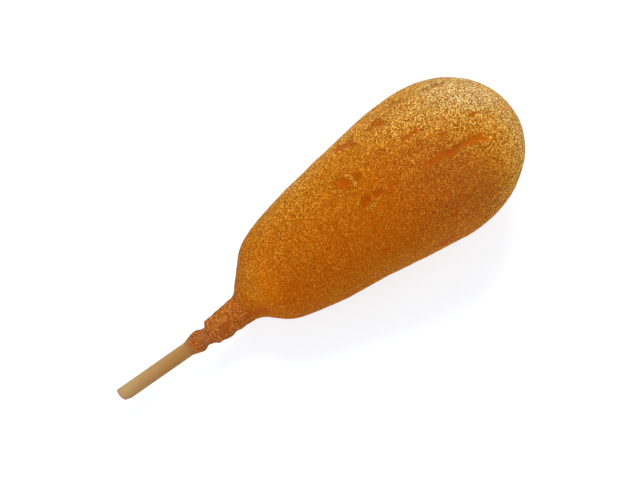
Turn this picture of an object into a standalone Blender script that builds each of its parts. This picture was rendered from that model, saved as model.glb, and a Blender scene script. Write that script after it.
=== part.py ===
"""A corn dog lying on its flank: one coat of fried batter on a round wooden stick.

Run it with: blender --background --python part.py

Units are metres and +Z is up. The food's own axis starts at the bare end of the
stick (station 0) and ends at the nose. It lies along +X and is pitched so that the
tapering flank rests on the table plane, z = 0. The origin is under the middle of
the whole corn dog.
"""

import math
from typing import NamedTuple

import bmesh
import bpy
from mathutils import Matrix

MM = 0.001

# The stick: a 5 mm dowel, blunt at both ends, most of it inside the food.
STICK_DIAMETER = 5.0 * MM
STICK_LENGTH = 140.0 * MM
STICK_CHAMFER = 0.5 * MM
STICK_SEGMENTS = 32
STICK_SIDE = -0.85 * MM  # where its axis starts, beside the food's axis
STICK_YAW = math.radians(-1.3)  # how far it leans sideways
SOCKET_GAP = 0.3 * MM  # between the stick and the hole that it fills

# The coat's nose: a rounded dome in front of the fattest ring.
BELLY_STATION = 125.5 * MM
BELLY_RADIUS = 25.4 * MM
NOSE_STATION = 158.2 * MM
NOSE_POWER = 2.1  # 2 is an ellipse, and more is blunter
NOSE_SIDE = -0.5 * MM  # how far the tip leans sideways
NOSE_RINGS = 15

# The coat's mesh.
COAT_SEGMENTS = 48
COLLAR_STEP = 1.2 * MM
SHOULDER_STEP = 1.7 * MM
FLANK_STEP = 3.2 * MM

# Hand-dipped batter is uneven: slow swells on the body, a ragged edge on the collar.
SWELL = 0.28 * MM
RAGGED_EDGE = 0.7 * MM
RAGGED_UNTIL = 46.5 * MM  # the collar is even from here to the shoulder

# How it lies.
REST_FROM = 75.5 * MM  # the stretch of the flank that touches the table
REST_TO = 121.5 * MM
FLAT_DEPTH = 0.6 * MM  # how much it is pressed flat
TABLE_CUTTER = (0.3, 0.15, 0.02)


class Station(NamedTuple):
    """A ring of the coat: its place along the axis, its radius and its sideways drift."""

    along: float
    radius: float
    side: float


# From the film's edge on the stick to the fattest ring.
EDGE = Station(28.8 * MM, 3.15 * MM, -1.5 * MM)
RING = Station(32.0 * MM, 3.6 * MM, -1.5 * MM)
WAIST = Station(34.6 * MM, 3.2 * MM, -1.65 * MM)
LIP = Station(38.0 * MM, 4.4 * MM, -1.5 * MM)
SLEEVE = Station(43.5 * MM, 4.8 * MM, -1.5 * MM)
NECK = Station(49.3 * MM, 5.2 * MM, -1.4 * MM)
SHOULDER_ROOT = Station(55.4 * MM, 8.7 * MM, 0.4 * MM)
SHOULDER = Station(60.7 * MM, 13.3 * MM, 0.8 * MM)
SHOULDER_TOP = Station(66.6 * MM, 16.2 * MM, 0.95 * MM)
FLANK = Station(80.5 * MM, 19.4 * MM, 1.05 * MM)
MIDDLE = Station(108.5 * MM, 23.7 * MM, 0.6 * MM)
BELLY = Station(BELLY_STATION, BELLY_RADIUS, 0.3 * MM)
COAT = (EDGE, RING, WAIST, LIP, SLEEVE, NECK, SHOULDER_ROOT, SHOULDER, SHOULDER_TOP, FLANK, MIDDLE, BELLY)


def clear_scene():
    """Removes whatever the file opened with."""
    for obj in list(bpy.data.objects):
        bpy.data.objects.remove(obj, do_unlink=True)


def new_collection(name):
    """Makes a collection in the scene."""
    made = bpy.data.collections.new(name)
    bpy.context.scene.collection.children.link(made)
    return made


def new_material(name, colour, roughness):
    """A Principled material of one colour."""
    material = bpy.data.materials.new(name)
    material.use_nodes = True
    shader = material.node_tree.nodes["Principled BSDF"]
    shader.inputs["Base Color"].default_value = (*colour, 1.0)
    shader.inputs["Roughness"].default_value = roughness
    shader.inputs["Metallic"].default_value = 0.0
    return material


def slope(stations, index, field):
    """The slope of a field of the stations at one of them, level at a crest or a dip."""
    if index in (0, len(stations) - 1):
        return 0.0
    before, here, after = stations[index - 1 : index + 2]
    rise_in = (getattr(here, field) - getattr(before, field)) / (here.along - before.along)
    rise_out = (getattr(after, field) - getattr(here, field)) / (after.along - here.along)
    if rise_in * rise_out <= 0.0:
        return 0.0
    return 2.0 * rise_in * rise_out / (rise_in + rise_out)


def through(stations, along, field):
    """A smooth curve through a field of the stations, with no overshoot between them."""
    last = len(stations) - 2
    index = next((i for i in range(last) if along < stations[i + 1].along), last)
    start, end = stations[index], stations[index + 1]
    length = end.along - start.along
    t = (along - start.along) / length
    pull_out = slope(stations, index, field) * length
    pull_in = slope(stations, index + 1, field) * length
    return (
        (2 * t**3 - 3 * t**2 + 1) * getattr(start, field)
        + (t**3 - 2 * t**2 + t) * pull_out
        + (3 * t**2 - 2 * t**3) * getattr(end, field)
        + (t**3 - t**2) * pull_in
    )


def nose_rings():
    """Places and radii from the nose's tip back to just before the fattest ring."""
    length = NOSE_STATION - BELLY_STATION
    for ring in range(NOSE_RINGS):
        angle = math.pi / 2 * (1 - ring / NOSE_RINGS)
        along = BELLY_STATION + length * math.sin(angle) ** (2 / NOSE_POWER)
        yield along, BELLY_RADIUS * max(0.0, math.cos(angle)) ** (2 / NOSE_POWER) if ring else 0.0


def body_rings():
    """Places and radii from the fattest ring back to the film's edge on the stick."""
    along = BELLY.along
    while along > EDGE.along:
        yield along, through(COAT, along, "radius")
        step = FLANK_STEP if along > SHOULDER_TOP.along + FLANK_STEP else SHOULDER_STEP
        along -= COLLAR_STEP if along <= NECK.along + COLLAR_STEP else step
    yield EDGE.along, EDGE.radius


def drift(along):
    """How far the middle of a ring lies beside the food's axis."""
    if along <= BELLY.along:
        return through(COAT, along, "side")
    reach = (along - BELLY.along) / (NOSE_STATION - BELLY.along)
    return BELLY.side + (NOSE_SIDE - BELLY.side) * reach**2


def swell(along, azimuth, radius):
    """How far the hand-dipped batter stands out from its round section."""
    wave = math.sin(2 * azimuth + 70 * along) + 0.6 * math.sin(3 * azimuth - 110 * along + 1.9)
    return SWELL * wave * (radius / BELLY_RADIUS) ** 2


def ragged(along, azimuth):
    """How far the collar's rings run ahead or behind at this azimuth."""
    share = max(0.0, 1.0 - (along - EDGE.along) / (RAGGED_UNTIL - EDGE.along))
    wave = math.sin(azimuth - 0.5) + 0.5 * math.sin(3 * azimuth + 0.8)
    return RAGGED_EDGE * share * wave if along > EDGE.along else 0.0


def turned_coat(collection):
    """The coat's profile, turned round the axis with a Screw, as a plain mesh along +X."""
    profile = [(radius, 0.0, along) for along, radius in (*nose_rings(), *body_rings())]
    profile.append((0.0, 0.0, EDGE.along))
    outline = bpy.data.meshes.new("coat_profile")
    outline.from_pydata(profile, [(i, i + 1) for i in range(len(profile) - 1)], [])
    turned = bpy.data.objects.new("coat_profile", outline)
    collection.objects.link(turned)
    screw = turned.modifiers.new("turn", "SCREW")
    screw.steps = screw.render_steps = COAT_SEGMENTS
    screw.use_merge_vertices = True
    screw.merge_threshold = 0.00001
    graph = bpy.context.evaluated_depsgraph_get()
    mesh = bpy.data.meshes.new_from_object(turned.evaluated_get(graph))
    mesh.transform(Matrix.Rotation(math.pi / 2, 4, "Y"))
    bpy.data.objects.remove(turned, do_unlink=True)
    bpy.data.meshes.remove(outline)
    return mesh


def shape_coat(mesh):
    """Makes the turned coat uneven: swells, the ragged collar and the sideways drift."""
    for vertex in mesh.vertices:
        along, side, up = vertex.co
        radius = math.hypot(side, up)
        azimuth = math.atan2(side, up)
        grown = radius + swell(along, azimuth, radius)
        vertex.co.x = along + ragged(along, azimuth) * min(1.0, radius / EDGE.radius)
        vertex.co.y = grown * math.sin(azimuth) + drift(along)
        vertex.co.z = grown * math.cos(azimuth)


def make_batter(collection, material, carrier):
    """The coat as one solid, smooth but for its faceted mesh."""
    mesh = turned_coat(collection)
    shape_coat(mesh)
    mesh.name = "batter"
    mesh.materials.append(material)
    mesh.shade_smooth()
    mesh.set_sharp_from_angle(angle=math.radians(50))
    batter = bpy.data.objects.new("batter", mesh)
    batter.parent = carrier
    collection.objects.link(batter)
    return batter


def dowel_mesh(name, radius, length):
    """A cylinder along +X from station 0."""
    mesh = bpy.data.meshes.new(name)
    shape = bmesh.new()
    bmesh.ops.create_cone(
        shape, cap_ends=True, segments=STICK_SEGMENTS, radius1=radius, radius2=radius, depth=length
    )
    shape.transform(Matrix.Translation((length / 2, 0, 0)) @ Matrix.Rotation(math.pi / 2, 4, "Y"))
    shape.to_mesh(mesh)
    shape.free()
    return mesh


def place_on_stick_axis(obj, carrier, along=0.0):
    """Puts an object on the stick's own leaning axis."""
    obj.parent = carrier
    obj.rotation_euler = (0, 0, STICK_YAW)
    obj.location = (along, STICK_SIDE + along * math.tan(STICK_YAW), 0)


def make_stick(collection, material, carrier):
    """The dowel, with its worn ends."""
    mesh = dowel_mesh("stick", STICK_DIAMETER / 2, STICK_LENGTH)
    mesh.materials.append(material)
    mesh.shade_smooth()
    mesh.set_sharp_from_angle(angle=math.radians(40))
    stick = bpy.data.objects.new("stick", mesh)
    collection.objects.link(stick)
    place_on_stick_axis(stick, carrier)
    worn = stick.modifiers.new("worn_ends", "BEVEL")
    worn.width = STICK_CHAMFER
    worn.segments = 3
    worn.limit_method = "ANGLE"
    worn.angle_limit = math.radians(60)
    return stick


def make_helper(name, mesh, collection):
    """An object that only cuts others."""
    helper = bpy.data.objects.new(name, mesh)
    helper.hide_render = True
    helper.display_type = "WIRE"
    collection.objects.link(helper)
    return helper


def cut(obj, cutter, name):
    """Takes one solid out of another."""
    boolean = obj.modifiers.new(name, "BOOLEAN")
    boolean.operation = "DIFFERENCE"
    boolean.object = cutter


def cut_socket(batter, collection, carrier):
    """The blind hole that the stick fills, open at the collar's edge."""
    start = EDGE.along - 5 * MM
    length = STICK_LENGTH + SOCKET_GAP - start
    mesh = dowel_mesh("socket_cutter", STICK_DIAMETER / 2 + SOCKET_GAP, length)
    cutter = make_helper("socket_cutter", mesh, collection)
    place_on_stick_axis(cutter, carrier, start)
    cut(batter, cutter, "socket")


def cut_resting_flat(batter, collection):
    """The flat that the coat lies on, level with the table."""
    mesh = bpy.data.meshes.new("table_cutter")
    shape = bmesh.new()
    bmesh.ops.create_cube(shape, size=1.0)
    bmesh.ops.scale(shape, vec=TABLE_CUTTER, verts=shape.verts)
    bmesh.ops.translate(shape, vec=(0, 0, -TABLE_CUTTER[2] / 2), verts=shape.verts)
    shape.to_mesh(mesh)
    shape.free()
    cut(batter, make_helper("table_cutter", mesh, collection), "resting_flat")


def pitch():
    """How far the food leans down towards its stick, to lie on its flank."""
    rise = through(COAT, REST_TO, "radius") - through(COAT, REST_FROM, "radius")
    return math.atan2(rise, REST_TO - REST_FROM)


def lay_down(carrier, batter, stick):
    """Pitches the food onto its flank, lowers it onto the table and centres it."""
    lying = Matrix.Rotation(-pitch(), 4, "Y")
    coat = [lying @ vertex.co for vertex in batter.data.vertices]
    near = min((lying @ vertex.co).x for vertex in stick.data.vertices)
    far = max(point.x for point in coat)
    left, right = min(point.y for point in coat), max(point.y for point in coat)
    lowest = min(point.z for point in coat)
    carrier.rotation_euler = (0, -pitch(), 0)
    carrier.location = (-(near + far) / 2, -(left + right) / 2, -lowest - FLAT_DEPTH)


def main():
    """Builds the corn dog."""
    clear_scene()
    parts = new_collection("corn_dog")
    cutters = new_collection("cutters")
    crust = new_material("fried_crust", (0.46, 0.13, 0.012), 0.6)
    wood = new_material("pale_wood", (0.50, 0.31, 0.12), 0.7)
    carrier = bpy.data.objects.new("corn_dog", None)
    parts.objects.link(carrier)
    batter = make_batter(parts, crust, carrier)
    stick = make_stick(parts, wood, carrier)
    lay_down(carrier, batter, stick)
    cut_socket(batter, cutters, carrier)
    cut_resting_flat(batter, cutters)


main()
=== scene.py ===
"""The looks of a corn dog that lies on its flank: fried batter on a wooden stick.

The food has an axis of its own. Station 0 is the stick's bare end, and the nose is at the
far end. A place on the coat is its station along that axis and its azimuth round it:
azimuth 0 is on top, and positive angles turn towards +Y, the left flank as seen from the
stick. The axis leans down towards the stick, so that the tapering flank rests on the table.
"""

import logging
import math
import random
from collections.abc import Iterable, Mapping, Sequence
from dataclasses import dataclass, field, fields
from enum import Enum
from functools import reduce

import bpy
import numpy as np
from bpy.types import ID, Material, Mesh, Node, NodeTree, Object
from mathutils import Matrix, Vector, noise


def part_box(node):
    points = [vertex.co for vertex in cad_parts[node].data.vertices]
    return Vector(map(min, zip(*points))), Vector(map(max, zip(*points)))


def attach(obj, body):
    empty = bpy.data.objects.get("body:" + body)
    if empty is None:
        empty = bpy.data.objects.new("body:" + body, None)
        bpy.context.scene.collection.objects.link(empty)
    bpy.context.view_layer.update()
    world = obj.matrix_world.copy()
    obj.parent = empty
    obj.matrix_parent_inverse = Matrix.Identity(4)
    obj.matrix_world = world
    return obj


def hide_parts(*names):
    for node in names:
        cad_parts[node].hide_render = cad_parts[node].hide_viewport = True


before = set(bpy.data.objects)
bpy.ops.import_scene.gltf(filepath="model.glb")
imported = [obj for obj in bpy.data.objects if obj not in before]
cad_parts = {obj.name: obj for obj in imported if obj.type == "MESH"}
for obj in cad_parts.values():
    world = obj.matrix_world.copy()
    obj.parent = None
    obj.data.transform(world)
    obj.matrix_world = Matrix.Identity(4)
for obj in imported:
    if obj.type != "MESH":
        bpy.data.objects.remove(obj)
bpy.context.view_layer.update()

Array = np.ndarray
Colour = tuple[float, float, float]
Socket = bpy.types.NodeSocket
Sockets = Mapping[str, Socket]
Source = Socket | float | tuple[float, ...]
Feed = Mapping[str | int, Source]
# A layer of noise: its strength, its size in mm and how far its pattern is moved.
Layer = tuple[float, float, float]

MM = 0.001
# Keeps divisions and logarithms away from zero.
TINY = 1e-12
# The factors of the crust's painted light and shade where it is darkest and lightest, and how steeply
# smoothstep joins them.
DARKEST, LIGHTEST = 0.8, 1.2
LIGHT_SLOPE = 1.5 * (LIGHTEST - DARKEST)
WHITE = (1.0, 1.0, 1.0, 1.0)
LOG = logging.getLogger("corn_dog")


# ---------------- shared shapes


def wrapped(angle: Array) -> Array:
    """An angle in radians, brought between -pi and pi."""
    return (angle + math.pi) % math.tau - math.pi


def smoothstep(low: float | Array, high: float | Array, value: Array) -> Array:
    """A smooth rise from 0 at low to 1 at high."""
    share = np.clip((value - low) / (high - low), 0.0, 1.0)
    return share * share * (3.0 - 2.0 * share)


def bell(middle: float, width: float, value: Array) -> Array:
    """1 at the middle, falling smoothly to almost 0 at twice the width on either side."""
    return np.exp(-(((value - middle) / width) ** 2))


def smooth_through(places: Sequence[float], values: Sequence[float], at: Array) -> Array:
    """A smooth curve through values at places, with no overshoot and level ends.

    Args:
        places: Rising places of the values.
        values: What the curve passes through.
        at: Where the curve is read.

    Returns:
        The curve's values.
    """
    x, y = np.asarray(places, float), np.asarray(values, float)
    rises = np.diff(y) / np.diff(x)
    pulls = np.zeros_like(y)
    same = rises[:-1] * rises[1:] > 0
    both = 2.0 * rises[:-1] * rises[1:] / np.where(same, rises[:-1] + rises[1:], 1.0)
    pulls[1:-1] = np.where(same, both, 0.0)
    leg = np.clip(np.searchsorted(x, at, side="right") - 1, 0, len(x) - 2)
    length = x[leg + 1] - x[leg]
    t = np.clip((at - x[leg]) / length, 0.0, 1.0)
    pull = (1 - t) * pulls[leg] - t * pulls[leg + 1]
    return y[leg] + (y[leg + 1] - y[leg]) * smoothstep(0.0, 1.0, t) + t * (1 - t) * length * pull


def turned(along: Array, reach: Array | float, azimuth: Array, side: Array | float = 0.0) -> Array:
    """Points at a reach from the food's axis, one a row, moved sideways."""
    return np.column_stack([along, reach * np.sin(azimuth) + side, reach * np.cos(azimuth)])


def noise_at(points: Array, *layers: Layer) -> Array:
    """Layers of smooth noise, added up.

    Args:
        points: One point a row, in metres.
        *layers: The layers, each between about -1 and 1 times its strength.

    Returns:
        One value a point.
    """
    total = np.zeros(len(points))
    for strength, size, moved in layers:
        spread = points / (size * MM) + moved
        total += strength * np.array([noise.noise(Vector(point)) for point in spread.tolist()])
    return total


@dataclass(frozen=True)
class Places:
    """Points of a turned form: stations and radii in metres, azimuths in radians."""

    along: Array
    radius: Array
    azimuth: Array

    @property
    def station(self) -> Array:
        """The stations in mm."""
        return self.along / MM

    @property
    def turn(self) -> Array:
        """The azimuths in degrees, between -180 and 180."""
        return np.degrees(wrapped(self.azimuth))


def stitch(first: Sequence[int], second: Sequence[int]) -> Iterable[tuple[int, ...]]:
    """Faces between two rings, of which one may have twice the other's vertices, or only one.

    Args:
        first: Vertex indices of the ring nearer the stick's bare end.
        second: Vertex indices of the next ring.

    Yields:
        Faces that turn outwards where the rings run round the axis from +Z to +Y.
    """
    a, b = len(first), len(second)
    if b < a:
        yield from (face[::-1] for face in stitch(second, first))
        return
    for i in range(a if a > 1 else b):
        j = i + 1
        if a == b:
            yield first[i], second[i], second[j % b], first[j % a]
        elif a == 1:
            yield first[0], second[i], second[j % b]
        else:
            low, middle, high = second[2 * i], second[2 * i + 1], second[2 * j % b]
            yield first[i], low, middle
            yield first[i], middle, first[j % a]
            yield first[j % a], middle, high


@dataclass
class RingMesh:
    """A closed body of rings, which run along +X and share edges where their counts differ."""

    columns: list[Array] = field(default_factory=list)
    rings: list[range] = field(default_factory=list)

    def add(self, along: float, radius: float, count: int) -> None:
        """Adds a ring, or a pole where count is 1.

        Args:
            along: The ring's station in metres.
            radius: Its radius in metres.
            count: How many vertices it has.
        """
        start = self.rings[-1].stop if self.rings else 0
        self.rings.append(range(start, start + count))
        azimuth = np.arange(count) * math.tau / count
        self.columns.append(np.array([np.full(count, along), np.full(count, radius), azimuth]))

    def places(self) -> Places:
        """Where all vertices are on the turned form."""
        return Places(*np.concatenate(self.columns, axis=1))

    def build(self, name: str, points: Array, hard: int = 0) -> Mesh:
        """Makes the mesh of the rings.

        Args:
            name: The mesh's name.
            points: Where its vertices are.
            hard: How many of the first bands between rings are shaded flat.

        Returns:
            The mesh, smooth but for those bands.
        """
        bands = [list(stitch(*pair)) for pair in zip(self.rings, self.rings[1:])]
        mesh = bpy.data.meshes.new(name)
        mesh.from_pydata(points.tolist(), [], [face for band in bands for face in band])
        mesh.shade_smooth()
        for face in mesh.polygons[: sum(len(band) for band in bands[:hard])]:
            face.use_smooth = False
        return mesh


def rows_of(items: bpy.types.bpy_prop_collection, name: str) -> Array:
    """Reads a vector that each item of a mesh has.

    Args:
        items: A mesh's vertices or normals.
        name: What the vector is called.

    Returns:
        One vector a row.
    """
    flat = np.empty(len(items) * 3, np.float32)
    items.foreach_get(name, flat)
    return flat.reshape(-1, 3).astype(float)


def move_to(mesh: Mesh, points: Array) -> None:
    """Puts the vertices of a mesh at the given points."""
    mesh.vertices.foreach_set("co", points.astype(np.float32).ravel())
    mesh.update()


def store(mesh: Mesh, painted: Mapping[str, Array]) -> None:
    """Keeps named values for each vertex, for the material to read.

    Args:
        mesh: The mesh that keeps them.
        painted: The values by name, kept between 0 and 1.
    """
    for name, values in painted.items():
        layer = mesh.attributes.new(name, "FLOAT", "POINT")
        layer.data.foreach_set("value", np.clip(values, 0.0, 1.0).astype(np.float32))


def new_object(name: str, data: ID) -> Object:
    """Puts a new object into the scene.

    Args:
        name: The object's name.
        data: Its mesh, light or camera.

    Returns:
        The object.
    """
    made = bpy.data.objects.new(name, data)
    bpy.context.scene.collection.objects.link(made)
    return made


# ---------------- marks in the crust


# A mark's width wanders by this share of it, but never falls below the narrowest share.
EDGE_WANDER, NARROWEST = 0.62, 0.25
# The closeness at which a mark's hollow, skin and painted shade set in and where they are full.
HOLLOW, COVER, SHADE = (-0.4, 0.9), (-0.8, 0.8), (-0.6, 0.6)
# The closeness at which its rim rises, and where it has fallen again.
RIM_RISE, RIM_FALL = (-0.95, -0.4), (0.1, -0.3)
# How grainy a rim of 1 mm would be.
RIM_GRAIN = 4.0


class Spot(Enum):
    """A kind of mark: its smooth skin, redness, rim in mm, paleness and darkness, the darkness being
    painted shade in its hollow.
    """

    SCAR = (0.74, 0.45, 0.08, 0.0, 0.08)
    CRATER = (0.74, 0.6, 0.12, 0.0, 0.40)
    DIMPLE = (0.74, 0.8, 0.08, 0.0, 0.65)
    PIT = (1.0, 1.0, 0.0, 0.0, 0.3)
    PATCH = (0.80, 0.8, 0.0, 0.0, 0.40)
    SMEAR = (0.52, 0.3, 0.0, 0.0, 0.15)
    CREASE = (0.30, 0.0, 0.0, 0.0, 1.2)
    BEAD = (0.0, 0.0, 0.0, 0.52, 0.0)
    # Raised rims whose paleness is painted highlight.
    RIDGE_HIGHLIGHT = (0.0, 0.0, 0.0, 0.22, 0.0)
    CRUMB = (0.0, 0.0, 0.0, 0.0, 0.0)

    def __init__(self, smooth: float, red: float, rim: float, pale: float, dark: float) -> None:
        """Names what the kind's numbers mean."""
        self.smooth, self.red, self.rim, self.pale, self.dark = smooth, red, rim, pale, dark


@dataclass(frozen=True)
class Mark:
    """A mark drawn on the coat along a short path.

    Args:
        spot: What kind of mark it is.
        path: Points as (station in mm, azimuth in degrees).
        width: Full width at the path's start and end, in mm.
        depth: How deep it goes, in mm; what stands out has a negative depth.
    """

    spot: Spot
    path: tuple[tuple[float, float], ...]
    width: tuple[float, float]
    depth: float

    def closeness(self, at: Places, wobble: Array) -> Array:
        """How near each point of the coat is to the mark's middle line.

        Args:
            at: Where the points are.
            wobble: Noise of about -1 to 1 that makes the mark's edge uneven.

        Returns:
            1 on the middle line, 0 at the mark's edge, and negative outside it.
        """
        best = np.full(at.along.shape, -1.0)
        uneven = np.maximum(1.0 + EDGE_WANDER * wobble, NARROWEST)
        stops = self.path if len(self.path) > 1 else self.path * 2
        for leg, ((start, turn), (end, end_turn)) in enumerate(zip(stops, stops[1:])):
            run_x = (end - start) * MM
            run_y = math.radians(end_turn - turn) * at.radius
            reach_x = at.along - start * MM
            reach_y = wrapped(at.azimuth - math.radians(turn)) * at.radius
            share = (reach_x * run_x + reach_y * run_y) / (run_x**2 + run_y**2 + TINY)
            share = np.clip(share, 0.0, 1.0)
            gap = np.hypot(reach_x - share * run_x, reach_y - share * run_y)
            place = (leg + share) / (len(stops) - 1)
            half = (self.width[0] + (self.width[1] - self.width[0]) * place) / 2 * MM
            best = np.maximum(best, 1.0 - gap / (half * uneven))
        return best


@dataclass
class Marked:
    """What all the marks together do to each point of the coat."""

    height: Array
    skin: Array
    red: Array
    pale: Array
    rim: Array
    dark: Array

    @classmethod
    def by(cls, marks: Iterable[Mark], at: Places, wobble: Array) -> "Marked":
        """Draws the marks.

        Args:
            marks: The marks to draw.
            at: Where the coat's points are.
            wobble: Noise that makes the marks' edges uneven.

        Returns:
            The marks' height in metres and their shares of skin, redness, paleness, rim and dark, where
            dark is painted shade in their hollows.
        """
        made = cls(*(np.zeros_like(at.along) for _ in fields(cls)))
        for mark in marks:
            near, spot = mark.closeness(at, wobble), mark.spot
            cover = smoothstep(*COVER, near)
            rim = smoothstep(*RIM_RISE, near) * smoothstep(*RIM_FALL, near)
            made.height += (spot.rim * rim - mark.depth * smoothstep(*HOLLOW, near)) * MM
            made.skin = np.maximum(made.skin, spot.smooth * cover)
            made.red = np.maximum(made.red, spot.red * cover)
            made.pale = np.maximum(made.pale, spot.pale * cover)
            # Painted shade in the mark's hollow.
            made.dark = np.maximum(made.dark, spot.dark * smoothstep(*SHADE, near))
            made.rim = np.maximum(made.rim, RIM_GRAIN * spot.rim * rim)
        return made


# ---------------- shared effects


class Bench:
    """Adds nodes to one tree and links them."""

    def __init__(self, tree: NodeTree) -> None:
        """Works on a tree."""
        self.tree = tree

    def feed(self, socket: Socket, source: Source) -> None:
        """Links a source into a socket, or sets the socket's own value.

        Args:
            socket: The input to feed.
            source: Another node's output, or a plain value.
        """
        if isinstance(source, Socket):
            self.tree.links.new(source, socket)
        else:
            socket.default_value = source

    def add(self, kind: str, fed: Feed | None = None, **options: object) -> Node:
        """Adds a node.

        Args:
            kind: Blender's name for the node.
            fed: What goes into its inputs, by their names or numbers.
            **options: Its other settings.

        Returns:
            The node.
        """
        node = self.tree.nodes.new(kind)
        for name, value in options.items():
            setattr(node, name, value)
        for name, source in (fed or {}).items():
            self.feed(node.inputs[name], source)
        return node

    def mix(self, share: Source, first: Source, second: Source, blend: str = "MIX") -> Socket:
        """Lays a colour over another.

        Args:
            share: How much of the second colour shows.
            first: The colour underneath.
            second: The colour on top.
            blend: Blender's name for the way of blending.

        Returns:
            The blended colour.
        """
        under, over = ((*one, 1.0) if isinstance(one, tuple) else one for one in (first, second))
        # Inputs 6 and 7 and output 2 are the colours of this node.
        fed = {0: share, 6: under, 7: over}
        return self.add("ShaderNodeMix", fed, data_type="RGBA", blend_type=blend).outputs[2]

    def scale(self, vector: Source, factor: Source) -> Socket:
        """Makes a colour lighter or a vector longer."""
        fed = {"Vector": vector, "Scale": factor}
        return self.add("ShaderNodeVectorMath", fed, operation="SCALE").outputs[0]

    def reckon(self, operation: str, first: Source, second: Source) -> Socket:
        """One step of arithmetic, kept between 0 and 1."""
        fed = {0: first, 1: second}
        return self.add("ShaderNodeMath", fed, operation=operation, use_clamp=True).outputs[0]

    def plus(self, first: Source, second: Source) -> Socket:
        """A sum, kept between 0 and 1."""
        return self.reckon("ADD", first, second)

    def minus(self, first: Source, second: Source) -> Socket:
        """A difference, kept between 0 and 1."""
        return self.reckon("SUBTRACT", first, second)

    def times(self, first: Source, *others: Source) -> Source:
        """A product, kept between 0 and 1."""
        return reduce(lambda product, other: self.reckon("MULTIPLY", product, other), others, first)

    def rise(
        self, value: Source, low: Source, high: Source, start: float = 0.0, end: float = 1.0
    ) -> Socket:
        """A smooth change from start to end as a value goes from low to high."""
        fed = {"Value": value, "From Min": low, "From Max": high, "To Min": start, "To Max": end}
        return self.add("ShaderNodeMapRange", fed, interpolation_type="SMOOTHSTEP").outputs["Result"]

    def ramp(self, value: Source, *stops: tuple[float, Colour]) -> Socket:
        """A colour that changes evenly from stop to stop as a value rises.

        Args:
            value: The value.
            *stops: Rising values, each with its colour.

        Returns:
            The colour.
        """
        node = self.add("ShaderNodeValToRGB", {0: value})
        points = node.color_ramp.elements
        for _ in stops[2:]:
            points.new(0.5)
        for point, (place, colour) in zip(points, stops):
            point.position, point.color = place, (*colour, 1.0)
        return node.outputs[0]

    def noise(self, place: Source, scale: Source, detail: float = 2.0, roughness: float = 0.5) -> Sockets:
        """Smooth noise of so many repeats a metre."""
        fed = {"Vector": place, "Scale": scale, "Detail": detail, "Roughness": roughness}
        return self.add("ShaderNodeTexNoise", fed, noise_dimensions="3D").outputs

    def channels(self, colour: Socket) -> Sockets:
        """The red, green and blue of a colour."""
        return self.add("ShaderNodeSeparateColor", {0: colour}).outputs

    def bump(self, height: Socket, strength: float, depth: float) -> Socket:
        """The normal of a relief so many metres deep."""
        fed = {"Height": height, "Strength": strength, "Distance": depth}
        return self.add("ShaderNodeBump", fed).outputs["Normal"]

    def place(self) -> Socket:
        """Where a point is on its piece, in metres."""
        return self.add("ShaderNodeTexCoord").outputs["Object"]

    def painted(self, name: str) -> Socket:
        """A value that the mesh keeps for each vertex."""
        return self.add("ShaderNodeAttribute", attribute_name=name).outputs["Fac"]

    def put_out(self, results: Mapping[str, Socket]) -> NodeTree:
        """Gives a node group its outputs, all of them plain values.

        Args:
            results: What the group puts out, by name.

        Returns:
            The finished group.
        """
        for name in results:
            self.tree.interface.new_socket(name, in_out="OUTPUT", socket_type="NodeSocketFloat")
        self.add("NodeGroupOutput", results)
        return self.tree


def new_effect(name: str, inputs: Mapping[str, float | None]) -> tuple[Bench, Sockets]:
    """Starts a node group.

    Args:
        name: The effect's name.
        inputs: Its inputs and their defaults; None marks a vector.

    Returns:
        The group's bench and its input sockets by name.
    """
    tree = bpy.data.node_groups.new(name, "ShaderNodeTree")
    for label, default in inputs.items():
        kind = "NodeSocketVector" if default is None else "NodeSocketFloat"
        socket = tree.interface.new_socket(label, in_out="INPUT", socket_type=kind)
        if default is not None:
            socket.default_value = default
    bench = Bench(tree)
    return bench, bench.add("NodeGroupInput").outputs


# How far from a grain's middle it ends and is full, for grains one apart.
GRAIN_EDGE, GRAIN_CORE = 0.85, 0.40
# How softly grains turn pale or dark as their random values pass the share.
PALE_BLUR, DARK_BLUR = 0.12, 0.14
# The noise on both sides of a fine line and in its middle, and where a line is unbroken.
LINE_LOW, LINE_HIGH, LINE_MIDDLE, LINE_END = 0.43, 0.57, 0.50, 0.52


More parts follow.
